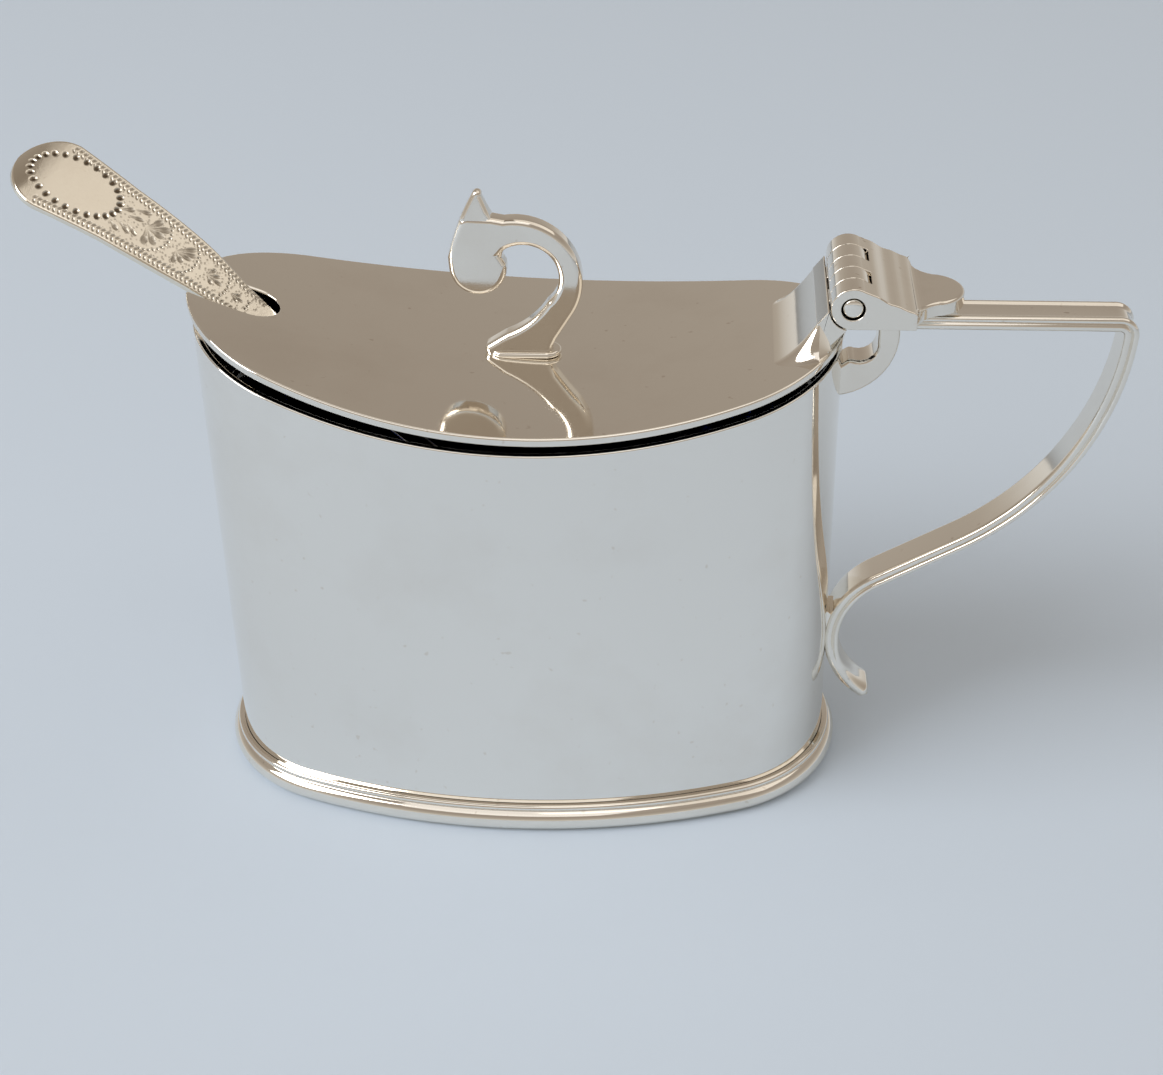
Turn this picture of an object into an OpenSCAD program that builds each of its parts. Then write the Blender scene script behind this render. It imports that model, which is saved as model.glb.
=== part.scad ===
// Oval silver mustard pot with a dipped rim, a hinged lid with a spoon notch,
// a strap handle, a blue glass liner and a mustard spoon standing in the notch.
// Millimetres. +Z is up, +X points to the handle, and the origin is the middle
// of the foot, on the table.

/* [Pot wall] */
// Length of the oval pot, across the outside of the wall
pot_length = 64; // [54:1:80]
// Width of the oval pot, across the outside of the wall
pot_width = 34.6; // [31:0.2:42]
// Radius of the tighter curve at each end of the oval
end_radius = 14.15; // [12:0.05:15]
// Thickness of the silver wall
wall = 0.8; // [0.5:0.05:1.4]
// Height of the rim at its lowest point
rim_low = 44.5; // [38:0.5:60]
// Radius of the dip along the rim
rim_sweep_radius = 98; // [80:1:200]
// Distance of the lowest point of the rim from the middle, towards the handle
rim_low_at = 3.5; // [-5:0.5:8]

/* [Foot and base] */
// Projection of the half-round foot band beyond the wall
foot_projection = 1.35; // [1:0.05:2.5]
// Radius of the half-round foot band
foot_band_radius = 0.9; // [0.6:0.05:1]
// Radius of the fine reed above the foot band
foot_reed_radius = 0.4; // [0.25:0.05:0.6]
// Height of the ledge inside the foot that carries the wall and the base plate
foot_ledge = 0.55; // [0.4:0.05:0.9]
// Width of that ledge inside the wall
foot_ledge_width = 0.6; // [0.3:0.05:1.5]
// Thickness of the base plate
base_thickness = 0.8; // [0.5:0.05:1.4]

/* [Glass liner] */
// Height of the liner
liner_height = 41; // [30:0.5:42]
// Thickness of the liner wall
liner_wall = 1.8; // [1.2:0.1:2.6]
// Thickness of the liner floor
liner_floor = 2.6; // [1.6:0.1:4]
// Radius of the hollow between the liner wall and floor
liner_cove = 3; // [1:0.25:5]
// Space between the liner and the silver wall
liner_gap = 0.4; // [0.25:0.05:1]

/* [Lid] */
// Thickness of the lid plate
lid_thickness = 0.9; // [0.6:0.05:1.4]
// Overhang of the lid beyond the wall
lid_overhang = 0.3; // [0:0.05:1]
// Height of the lid above the lowest point of the rim
lid_lift = 1.1; // [0.8:0.05:2]
// Radius of the dip along the lid
lid_sweep_radius = 90; // [75:1:180]
// Distance of the lowest point of the lid from the middle, towards the handle
lid_low_at = 4.1; // [-4:0.1:8]
// Width of the spoon notch in the lid
notch_width = 5.2; // [5:0.1:7]
// Length of the spoon notch, from the end of the lid to its round inner end
notch_depth = 8.65; // [8.45:0.05:12]

/* [Hinge] */
// Height of the hinge axis above the lid
hinge_rise = 3.65; // [3.4:0.05:4.5]
// Distance of the hinge axis beyond the pot wall
hinge_out = 0.4; // [0:0.1:1.5]
// Diameter of the hinge barrel
barrel_d = 4.2; // [3.6:0.1:5]
// Length of the hinge barrel
barrel_length = 13; // [11:0.5:15]
// Number of knuckles in the barrel, an odd number
knuckles = 5; // [3:2:7]
// Diameter of the hinge pin
pin_d = 2; // [1.2:0.1:2.4]
// Radial play of the hinge pin in its bores
pin_play = 0.05; // [0.02:0.01:0.1]
// Space beside and around each knuckle
knuckle_play = 0.2; // [0.12:0.02:0.3]
// Radius of the hollow flare of the lid leaf, towards the middle of the lid
flare_radius = 5; // [3:0.1:6]
// Radius of the hollow flare on each side of the lid leaf
flare_side = 2; // [1.6:0.1:2.4]
// Length of the solid part of the handle leaf, from the hinge axis
leaf_length = 6; // [5:0.1:8]
// Length of the tongue of the handle leaf beyond its solid part
tongue_length = 5; // [3.6:0.1:8]
// Width of the tongue
tongue_width = 6.9; // [6:0.1:8]
// Radius of the hollow curve on each side of the tongue
tongue_hollow = 3.8; // [3.6:0.1:5]
// Thickness of the tongue
tongue_thickness = 1.45; // [0.8:0.05:2]
// Height of the narrow seat that lifts the handle leaf off the strap
leaf_seat = 0.75; // [0.4:0.05:1.2]

/* [Handle] */
// Width of the handle strap
strap_width = 4.2; // [3:0.1:6]
// Thickness of the handle strap
strap_thickness = 1.05; // [0.8:0.05:1.6]
// Depth of the hollow between the two raised edges of the strap
strap_hollow = 0.14; // [0.05:0.01:0.3]
// Width of each raised edge of the strap
strap_edge = 0.75; // [0.4:0.05:1.2]
// Reach of the handle beyond the pot wall
handle_reach = 28; // [22:0.5:40]
// Outer radius of the handle's big curve
scroll_radius = 30; // [26:0.5:36]
// Angle that the big curve turns through
scroll_turn = 60; // [54:1:66]
// Radius of the tail, where the strap turns out from the wall
tail_radius = 8.4; // [5:0.1:12]
// Angle that the tail turns through
tail_turn = 120; // [80:1:135]
// Radius of the round bead along the corner of the handle
corner_bead = 0.8; // [0.6:0.05:1.2]
// Width of the curved bracket below the hinge
bracket_width = 3.4; // [2:0.1:5]
// Radius of the bracket's outer curve
bracket_radius = 6.75; // [6:0.05:8]
// Radius at the bottom of the opening between the bracket and the wall
bracket_hole = 1.75; // [1.6:0.05:2.1]

/* [Finial] */
// Thickness of the scroll plate
finial_thickness = 2.2; // [1.4:0.1:3.2]
// Distance of the finial from the middle of the pot, towards the handle
finial_at = 0.4; // [-6:0.1:6]
// Height of the arch's centre above the lid
arch_height = 8; // [7.5:0.1:9]
// Outer radius of the arch
arch_outer = 5.9; // [5.6:0.05:6.4]
// Radius of the hollow under the arch
arch_inner = 3.65; // [3.3:0.05:3.9]
// Radius of the curled head
head_radius = 2.7; // [2.3:0.05:2.9]
// Height of the pointed tip above the lid
tip_height = 17.3; // [16:0.1:20]
// Thickness of the foot plate under the scroll
finial_pad = 0.6; // [0.4:0.05:1]
// Length of the foot plate
finial_pad_length = 6.9; // [6.6:0.1:10]
// Margin of the foot plate on each side of the scroll
finial_pad_margin = 0.45; // [0.2:0.05:1]

/* [Spoon] */
// Length of the spoon's handle beyond the notch
spoon_handle = 28.4; // [24:0.2:34]
// Space between the tip of the bowl and the inside of the liner
spoon_clearance = 0.9; // [0.7:0.05:3]
// Width of the spoon's handle near its end
spoon_width = 8.4; // [6:0.1:10]
// Width of the spoon's stem
stem_width = 2.2; // [1.4:0.1:2.8]
// Thickness of the spoon's handle and stem
spoon_thickness = 1; // [0.7:0.05:1.2]
// Radius of the arch of the spoon's handle
spoon_arch = 84; // [60:1:200]
// Length of the bowl
bowl_length = 22; // [16:0.5:26]
// Width of the bowl
bowl_width = 13.2; // [10:0.2:16]
// Depth of the bowl
bowl_depth = 3.5; // [2:0.1:5]
// Thickness of the bowl
bowl_wall = 0.8; // [0.5:0.05:1.2]
// Slope of the stem
spoon_slope = 41; // [38:0.5:44]
// Turn of the spoon away from the line of the pot
spoon_turn = -4.6; // [-7:0.2:3]
// Roll of the spoon about its stem
spoon_roll = -30; // [-34:1:0]

/* [Hidden] */
$fn = 128;
// Facets round a large curve and round a very large one
large_fn = 512;
huge_fn = 1024;

// Space taken by a solder seam between two pieces
seam = 0.05;
// Overrun of a cutting solid beyond the face that it cuts
over = 1;
silver = [0.78, 0.77, 0.74];
cobalt = [0.05, 0.10, 0.45, 0.85];

// The oval is four arcs: one at each end and one along each side
end_centre = pot_length / 2 - end_radius;
half_width = pot_width / 2;
narrowing = half_width - end_radius;
side_centre = (pow(end_centre, 2) - pow(narrowing, 2)) / (2 * narrowing);
side_radius = half_width + side_centre;
side_angle = atan(end_centre / side_centre);
zone_far = [end_centre + pot_length * sin(side_angle), pot_length * cos(side_angle)];
pot_end = pot_length / 2;

// Plain edge under the foot band, and groove between the band and the reed
foot_edge = 0.25;
foot_groove = 0.3;
foot_band_z = foot_edge + foot_band_radius;
foot_reed_z = foot_band_z + foot_band_radius + foot_groove + foot_reed_radius;
floor_z = foot_ledge + seam;
liner_z = floor_z + base_thickness + seam;
liner_inset = wall + liner_gap;
rim_top = rim_low + rim_sweep_radius;

lid_low = rim_low + lid_lift;
lid_end = pot_end + lid_overhang;
notch_end = notch_depth - lid_end;
function lid_top(x) =
    lid_low + lid_sweep_radius - sqrt(pow(lid_sweep_radius - lid_thickness, 2) - pow(x - lid_low_at, 2));

hinge_x = pot_end + hinge_out;
hinge_z = lid_top(hinge_x) + hinge_rise;
barrel_r = barrel_d / 2;
knuckle_length = barrel_length / knuckles;
// Root of the lid leaf from the hinge axis, and the slope of the lid under it
leaf_root = -3.2;
leaf_slope = asin((hinge_x + leaf_root - lid_low_at) / (lid_sweep_radius - lid_thickness));
flare_height = 2;
leaf_low = -barrel_r;
tongue_top = leaf_low + tongue_thickness;
leaf_tip = leaf_length + tongue_length - tongue_width / 2;

strap_z = hinge_z - barrel_r - leaf_seat - seam;
strap_mid = strap_z - strap_thickness / 2;
strap_start = hinge_x + barrel_r;
handle_x = pot_end + handle_reach;
strap_end = handle_x - strap_thickness / 2 - corner_bead - seam;
scroll_x = handle_x - scroll_radius;
scroll_line = scroll_radius - strap_thickness / 2;
tail_x = pot_end + seam + strap_thickness / 2 + tail_radius;
straight_run = (scroll_x + (scroll_line + tail_radius) * cos(scroll_turn) - tail_x) / sin(scroll_turn);
bracket_z = strap_z - strap_thickness - seam;

// Place of the stem's middle beside the notch's round end and under the lid
spoon_rest = 1.65;
spoon_drop = 1.2;
spoon_x = notch_end - spoon_rest;
spoon_z = lid_top(spoon_x) - lid_thickness - spoon_drop;
// Length from the notch down to the tip of the bowl, which stops short of the liner
liner_bottom = liner_z + liner_floor + spoon_clearance;
liner_far = pot_end - liner_inset - liner_wall - liner_cove / 2 - spoon_clearance;
spoon_reach = min((spoon_z - liner_bottom) / sin(spoon_slope), (liner_far - spoon_x) / cos(spoon_slope));

// Part of the plan that belongs to the arc at one end of the oval
module end_zone(side) {
    polygon([
        [side * end_centre, 0],
        [side * zone_far.x, zone_far.y],
        [side * (zone_far.x + pot_length), 0],
        [side * zone_far.x, -zone_far.y]
    ]);
}

// Part of the plan that belongs to the arc along one side of the oval
module side_zone(side) {
    polygon([
        [end_centre, 0],
        [zone_far.x, side * zone_far.y],
        [-zone_far.x, side * zone_far.y],
        [-end_centre, 0]
    ]);
}

// A filled oval that follows the pot's outside, grown outwards by a distance
module oval(grow) {
    for (side = [-1, 1])
        intersection() {
            translate([side * end_centre, 0]) circle(r = end_radius + grow);
            end_zone(side);
        }
    for (side = [-1, 1])
        intersection() {
            translate([0, -side * side_centre]) circle(r = side_radius + grow);
            side_zone(side);
        }
}

// A section carried round the oval; its x = 0 follows the outside of the wall
module round_the_oval() {
    zone_height = 2 * pot_length;
    for (side = [-1, 1]) {
        intersection() {
            translate([side * end_centre, 0, 0])
                rotate_extrude() translate([end_radius, 0]) children();
            linear_extrude(height = zone_height, center = true) end_zone(side);
        }
        intersection() {
            translate([0, -side * side_centre, 0])
                rotate_extrude($fn = large_fn) translate([side_radius, 0]) children();
            linear_extrude(height = zone_height, center = true) side_zone(side);
        }
    }
}

// A solid cylinder that lies across the pot, along Y
module across(radius, length) {
    rotate([90, 0, 0]) cylinder(r = radius, h = length, center = true);
}

// A long dip across the pot: a cylinder fine enough to measure thin plates by
module dip(radius, length) {
    across(radius, length, $fn = huge_fn);
}

// The space above the lid, down to a solder seam over its upper face
module above_lid() {
    translate([lid_low_at, 0, lid_low + lid_sweep_radius])
        dip(lid_sweep_radius - lid_thickness - seam, pot_width);
}

// An outline in the upright plane of the pot, made as thick as the pot is wide there
module upright(thickness) {
    rotate([90, 0, 0]) linear_extrude(height = thickness, center = true) children();
}

// Seamed sheet wall with its rim cut to a long dip
module body_wall() {
    color(silver)
        difference() {
            translate([0, 0, floor_z])
                linear_extrude(height = rim_low + pot_length / 4)
                    difference() {
                        oval(0);
                        oval(-wall);
                    }
            translate([rim_low_at, 0, rim_top]) dip(rim_sweep_radius, pot_width + 2 * over);
        }
}

// Flat plate that closes the pot, standing on the ledge of the foot
module base_plate() {
    color(silver)
        translate([0, 0, floor_z])
            linear_extrude(height = base_thickness) oval(-wall - seam);
}

// Moulded wire round the bottom: a half-round band with a fine reed above it
module foot_ring() {
    color(silver)
        round_the_oval() {
            translate([-wall - foot_ledge_width, 0])
                square([wall + foot_ledge_width + foot_projection / 2, foot_ledge]);
            intersection() {
                union() {
                    translate([0, foot_ledge / 2])
                        square([seam + foot_reed_radius, foot_reed_z - foot_ledge / 2]);
                    translate([foot_projection - foot_band_radius, foot_band_z])
                        circle(r = foot_band_radius);
                    translate([seam + foot_reed_radius, foot_reed_z])
                        circle(r = foot_reed_radius);
                }
                translate([seam, 0]) square([pot_width, pot_width]);
            }
        }
}

// Wall of the liner from the side: a round lip and a hollow curve into the floor
module liner_section() {
    lip = liner_wall / 2;
    inside = liner_inset + liner_wall;
    translate([-inside, 0]) square([liner_wall, liner_height - lip]);
    translate([-liner_inset - lip, liner_height - lip]) circle(r = lip);
    translate([-inside - liner_cove, 0])
        difference() {
            square([liner_cove + lip, liner_floor + liner_cove]);
            translate([0, liner_floor + liner_cove]) circle(r = liner_cove);
        }
}

// Glass cup that keeps the mustard off the silver
module glass_liner() {
    color(cobalt)
        translate([0, 0, liner_z]) {
            round_the_oval() liner_section();
            linear_extrude(height = liner_floor)
                oval(-liner_inset - liner_wall - liner_cove);
        }
}

// Curved plate that follows the dip of the rim, with a notch open to its end
module lid_plate() {
    notch_r = notch_width / 2;
    color(silver)
        difference() {
            intersection() {
                translate([0, 0, rim_low])
                    linear_extrude(height = pot_length / 2) oval(lid_overhang);
                translate([lid_low_at, 0, lid_low + lid_sweep_radius])
                    difference() {
                        dip(lid_sweep_radius, pot_width + 2 * over);
                        dip(lid_sweep_radius - lid_thickness, pot_width + 4 * over);
                    }
            }
            translate([notch_end - notch_r, 0, rim_low])
                linear_extrude(height = pot_length / 2)
                    union() {
                        circle(r = notch_r);
                        translate([-pot_length, -notch_r]) square([pot_length, notch_width]);
                    }
        }
}

// Knuckles of one leaf: every second one, from the first or the second
module barrel(first, radius, play) {
    for (i = [first : 2 : knuckles - 1])
        translate([0, (i - (knuckles - 1) / 2) * knuckle_length, 0])
            across(radius, knuckle_length + play);
}

module pin_bore() {
    across(pin_d / 2 + pin_play, barrel_length + 2 * over);
}

// Hollow curve from an upright face out to the lid
module flare_section(radius) {
    difference() {
        square([radius, flare_height]);
        translate([radius, radius]) circle(r = radius);
    }
}

// Hollow flare that spreads the lid leaf's root over the lid, mitred at two corners
module leaf_flare(width) {
    run_out = 1.3;
    intersection() {
        upright(2 * width) {
            mirror([1, 0]) flare_section(flare_radius);
            square([run_out, flare_height]);
        }
        rotate([90, 0, 90])
            linear_extrude(height = 4 * flare_radius, center = true) {
                translate([-width / 2, 0]) square([width, flare_height]);
                translate([width / 2, 0]) flare_section(flare_side);
                translate([-width / 2, 0]) mirror([1, 0]) flare_section(flare_side);
            }
    }
}

// Block soldered on the lid, with a flared root and the lid's knuckles
module lid_hinge_leaf() {
    width = barrel_length - knuckle_play;
    low = -hinge_rise - over;
    heel = leaf_root + 0.4;
    throat = -barrel_r - 0.35;
    flare_margin = 0.5;
    shoulder = [leaf_root + 0.65, -0.5];
    brow = [leaf_root - 0.75, -2.5];
    color(silver)
        difference() {
            intersection() {
                union() {
                    translate([hinge_x, 0, hinge_z]) {
                        upright(width)
                            polygon([
                                [leaf_root, low],
                                [heel, low],
                                [0, throat],
                                [0, shoulder.y],
                                shoulder,
                                brow
                            ]);
                        barrel(1, barrel_r, -knuckle_play);
                    }
                    intersection() {
                        translate([hinge_x + leaf_root, 0, lid_top(hinge_x + leaf_root)])
                            rotate([0, -leaf_slope, 0]) leaf_flare(width);
                        translate([0, 0, rim_low])
                            linear_extrude(height = pot_length / 2) oval(lid_overhang - flare_margin);
                    }
                }
                above_lid();
            }
            translate([hinge_x, 0, hinge_z]) {
                barrel(0, barrel_r + knuckle_play, knuckle_play);
                pin_bore();
            }
        }
}

// Plan of the handle leaf: a wide root that narrows in two hollow curves to a round tongue
module leaf_plan() {
    tongue_r = tongue_width / 2;
    half = barrel_length / 2;
    corner = 0.3;
    difference() {
        union() {
            translate([0, -half]) square([leaf_tip + tongue_r / 4, barrel_length]);
            translate([leaf_tip, 0]) circle(r = tongue_r);
        }
        for (side = [-1, 1])
            translate([leaf_length + tongue_hollow, side * (half + corner)])
                circle(r = tongue_hollow);
    }
}

// Cast leaf on the handle: outer knuckles, a sloping back and a tongue on the strap
module handle_hinge_leaf() {
    back_angle = 35;
    crest = [leaf_length - 3.1, tongue_top + 1.65];
    brink = [leaf_length - 0.2, tongue_top + 0.55];
    hollow_r = 6;
    hollow = [leaf_length + 0.43, tongue_top + 6.58];
    seat_margin = 0.3;
    seat_width = strap_width - 2 * seat_margin;
    color(silver)
        translate([hinge_x, 0, hinge_z])
            difference() {
                union() {
                    intersection() {
                        translate([0, 0, leaf_low])
                            linear_extrude(height = barrel_d) leaf_plan();
                        upright(barrel_length)
                            difference() {
                                polygon([
                                    [0, leaf_low],
                                    [leaf_length + tongue_length, leaf_low],
                                    [leaf_length + tongue_length, tongue_top],
                                    [leaf_length, tongue_top],
                                    brink,
                                    crest,
                                    barrel_r * [sin(back_angle), cos(back_angle)],
                                    [0, 0]
                                ]);
                                translate(hollow) circle(r = hollow_r);
                            }
                    }
                    translate([barrel_r, -seat_width / 2, leaf_low - leaf_seat])
                        cube([leaf_tip - barrel_r, seat_width, leaf_seat + tongue_thickness / 2]);
                    barrel(0, barrel_r, 0);
                }
                barrel(1, barrel_r + knuckle_play, knuckle_play);
                pin_bore();
            }
}

module hinge_pin() {
    color(silver)
        translate([hinge_x, 0, hinge_z]) across(pin_d / 2, barrel_length);
}

// Section of the handle strap: flat, with raised edges on both faces
module strap_section() {
    difference() {
        square([strap_thickness, strap_width], center = true);
        for (side = [-1, 1])
            translate([side * strap_thickness / 2, 0])
                square([2 * strap_hollow, strap_width - 2 * strap_edge], center = true);
    }
}

// Straight strap from the hinge to the corner of the handle
module handle_top_strap() {
    color(silver)
        translate([strap_start, 0, strap_mid])
            rotate([0, 90, 0])
                linear_extrude(height = strap_end - strap_start) strap_section();
}

// Strap that sweeps down to the wall and turns out in a tail
module handle_scroll_strap() {
    tail_end = 180 + tail_turn;
    color(silver)
        translate([scroll_x, 0, strap_mid]) {
            translate([scroll_line, 0, 0])
                linear_extrude(height = strap_thickness / 2) strap_section();
            translate([scroll_line, 0, strap_thickness / 2 - corner_bead / 2])
                across(corner_bead, strap_width);
            rotate([90, 0, 0])
                rotate([0, 0, -scroll_turn]) {
                    rotate_extrude(angle = scroll_turn)
                        translate([scroll_line, 0]) strap_section();
                    translate([scroll_line, -straight_run, 0])
                        rotate([-90, 0, 0])
                            linear_extrude(height = straight_run) strap_section();
                    translate([scroll_line + tail_radius, -straight_run, 0]) {
                        rotate_extrude(angle = tail_turn, start = 180)
                            translate([tail_radius, 0]) strap_section();
                        translate(tail_radius * [cos(tail_end), sin(tail_end), 0])
                            cylinder(d = strap_thickness, h = strap_width, center = true);
                    }
                }
        }
}

// Crescent bracket that ties the strap to the wall below the hinge
module handle_bracket() {
    bracket_drop = 2 * bracket_radius;
    curve_centre = [pot_end - 1.3, bracket_z - 1.1];
    hole_centre = [pot_end + 1.6, bracket_z - 2.15];
    hole_side = bracket_hole - 0.05;
    color(silver)
        upright(bracket_width)
            intersection() {
                difference() {
                    translate(curve_centre) circle(r = bracket_radius);
                    translate(hole_centre) circle(r = bracket_hole);
                    translate(hole_centre + [hole_side - bracket_drop, 0.3])
                        square([bracket_drop, bracket_drop]);
                }
                translate([pot_end + seam, bracket_z - bracket_drop])
                    square([bracket_drop, bracket_drop]);
            }
}

// Thin plate that spreads the scroll's foot on the lid
module finial_foot() {
    pad_width = finial_thickness + 2 * finial_pad_margin;
    pad_straight = finial_pad_length - pad_width;
    color(silver)
        intersection() {
            translate([finial_at, 0, lid_top(finial_at) - over])
                linear_extrude(height = finial_pad + over) {
                    square([pad_straight, pad_width], center = true);
                    for (side = [-1, 1])
                        translate([side * pad_straight / 2, 0])
                            circle(d = pad_width);
                }
            above_lid();
        }
}

// Limb and arch of the scroll, from the foot up and over to the head
module scroll_limb(arch) {
    hollow = arch + [0.75, 0.6];
    limb_hollow = arch + [-4.5, 2.6];
    limb_curve = 9.25;
    limb_join = arch.y - 0.6;
    limb_low = finial_pad + seam;
    limb_left = -3.3;
    limb_right = [2.85, 3.1];
    heel_z = 1.9;
    arch_low = arch.y - arch_inner;
    side_angle = 24;
    side = arch + (arch_outer - 0.1) * [cos(side_angle), -sin(side_angle)];
    band = [-4.3, arch.y + 2.5];
    band_top = [arch.y + arch_outer + 0.5, arch.y + arch_outer - 0.2];
    difference() {
        union() {
            intersection() {
                translate(arch) circle(r = arch_outer);
                translate([-over, arch_low]) square(2 * arch_outer);
            }
            polygon([
                band,
                [arch.x, band.y],
                [arch.x + over, band_top[1]],
                [band.x, band_top[0]]
            ]);
            polygon([
                [limb_left, limb_low],
                [limb_right[0], limb_low],
                [limb_right[1], heel_z],
                side,
                hollow,
                [limb_left, heel_z]
            ]);
        }
        translate(hollow) circle(r = arch_inner);
        intersection() {
            translate(limb_hollow) circle(r = limb_curve);
            translate([-2 * limb_curve, 0]) square([4 * limb_curve, limb_join]);
        }
    }
}

// Pointed horn that rises from the head
module scroll_horn(arch, head) {
    arch_top = arch.y + arch_outer;
    tip_x = -3.75;
    cheek = [tip_x - 1.55, arch_top + 0.7];
    polygon([
        head + [-0.9 * head_radius, 0],
        head + [1.4, 0],
        [-2, arch_top + 0.1],
        [-2.6, arch_top + 0.8],
        [tip_x + 0.35, tip_height - 0.4],
        [tip_x, tip_height],
        [tip_x - 0.3, tip_height - 0.3],
        cheek,
        head + [-2.4, 2.6],
        head + [-2.72, 1.2]
    ]);
}

// Flat scroll that the lid is lifted by: a limb, an arch and a curled head with a horn
module finial_scroll() {
    arch = [-0.3, arch_height];
    head = arch + [-3.6, 1.7];
    color(silver)
        translate([finial_at, 0, lid_top(finial_at)])
            upright(finial_thickness)
                union() {
                    scroll_limb(arch);
                    translate(head) circle(r = head_radius);
                    scroll_horn(arch, head);
                }
}

// Outline of the spoon's handle and stem, from above
module spoon_plan() {
    end_r = spoon_width / 2;
    end_x = spoon_handle - end_r;
    stem_r = stem_width / 2;
    taper_end = -3;
    translate([end_x, 0]) circle(r = end_r);
    polygon([
        [end_x, end_r],
        [taper_end, stem_r],
        [taper_end, -stem_r],
        [end_x, -end_r]
    ]);
    translate([-spoon_reach + bowl_length - over, -stem_r])
        square([spoon_reach - bowl_length + over + taper_end, stem_width]);
}

// Side of the spoon: a straight stem and a handle that arches over
module spoon_side() {
    stem_length = spoon_reach - bowl_length + over;
    translate([-stem_length, -spoon_thickness / 2])
        square([stem_length, spoon_thickness]);
    intersection() {
        translate([0, -spoon_arch])
            difference() {
                circle(r = spoon_arch + spoon_thickness / 2);
                circle(r = spoon_arch - spoon_thickness / 2);
            }
        translate([0, -spoon_handle]) square([spoon_handle, 2 * spoon_handle]);
    }
}

// Body of revolution whose lower slice is the spoon's bowl
module bowl_form(inset) {
    half_length = bowl_length / 2;
    belly = (pow(bowl_width / 2, 2) + pow(bowl_depth, 2)) / (2 * bowl_depth);
    curve = (pow(half_length, 2) + pow(bowl_depth, 2)) / (2 * bowl_depth);
    translate([half_length - spoon_reach, 0, spoon_thickness / 2 + belly - bowl_depth])
        rotate([0, 90, 0])
            rotate_extrude()
                intersection() {
                    translate([belly - curve, 0]) circle(r = curve - inset);
                    translate([0, -bowl_length]) square([curve, 2 * bowl_length]);
                }
}

// Mustard spoon: an arched, tapering handle, a slim stem and an oval bowl
module spoon() {
    size = 2 * spoon_reach;
    color(silver)
        translate([spoon_x, 0, spoon_z])
            rotate([0, 0, 180 + spoon_turn])
                rotate([0, -spoon_slope, 0])
                    rotate([spoon_roll, 0, 0])
                        difference() {
                            union() {
                                intersection() {
                                    translate([0, 0, -spoon_handle])
                                        linear_extrude(height = 2 * spoon_handle) spoon_plan();
                                    upright(2 * spoon_width) spoon_side();
                                }
                                intersection() {
                                    bowl_form(0);
                                    translate([-size, -size / 2, spoon_thickness / 2 - size])
                                        cube(size);
                                }
                            }
                            bowl_form(bowl_wall);
                        }
}

body_wall();
base_plate();
foot_ring();
glass_liner();
lid_plate();
lid_hinge_leaf();
handle_hinge_leaf();
hinge_pin();
handle_top_strap();
handle_scroll_strap();
handle_bracket();
finial_foot();
finial_scroll();
spoon();
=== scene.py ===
import bpy
import math
from math import cos, radians, sin, sqrt
from mathutils import Matrix, Vector


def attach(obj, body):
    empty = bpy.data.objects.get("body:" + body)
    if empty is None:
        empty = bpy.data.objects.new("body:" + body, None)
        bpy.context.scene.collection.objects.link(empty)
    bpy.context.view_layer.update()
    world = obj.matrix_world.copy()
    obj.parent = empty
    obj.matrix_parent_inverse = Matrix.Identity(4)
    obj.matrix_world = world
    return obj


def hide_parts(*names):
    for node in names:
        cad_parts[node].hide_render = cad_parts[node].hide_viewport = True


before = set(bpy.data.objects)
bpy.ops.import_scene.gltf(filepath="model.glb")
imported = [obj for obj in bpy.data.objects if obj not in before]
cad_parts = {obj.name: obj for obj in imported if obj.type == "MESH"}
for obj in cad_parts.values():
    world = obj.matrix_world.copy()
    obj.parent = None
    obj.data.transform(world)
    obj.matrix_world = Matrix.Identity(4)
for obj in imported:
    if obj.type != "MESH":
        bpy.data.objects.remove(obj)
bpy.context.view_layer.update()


# Pot wall
# A strip of sheet silver bent to an oval, soldered along one seam and hammered true. The rim
# is cut to a long dip and its edge is rounded over with a burnisher, then the wall is polished.

mm = 0.001
weld = 0.002 * mm


def linear(hex_colour):
    """An sRGB hex colour as the linear values that a shader takes."""
    parts = [int(hex_colour[i:i + 2], 16) / 255 for i in (0, 2, 4)]
    return [c / 12.92 if c <= 0.04045 else ((c + 0.055) / 1.055) ** 2.4 for c in parts] + [1]


def add(tree, kind, inputs=(), **settings):
    """One node with its settings. Each input, by name or place, is linked to an output or set."""
    node = tree.nodes.new(kind)
    for name, value in settings.items():
        setattr(node, name, value)
    for name, value in dict(inputs).items():
        if isinstance(value, bpy.types.NodeSocket):
            tree.links.new(value, node.inputs[name])
        else:
            node.inputs[name].default_value = value
    return node


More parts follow.
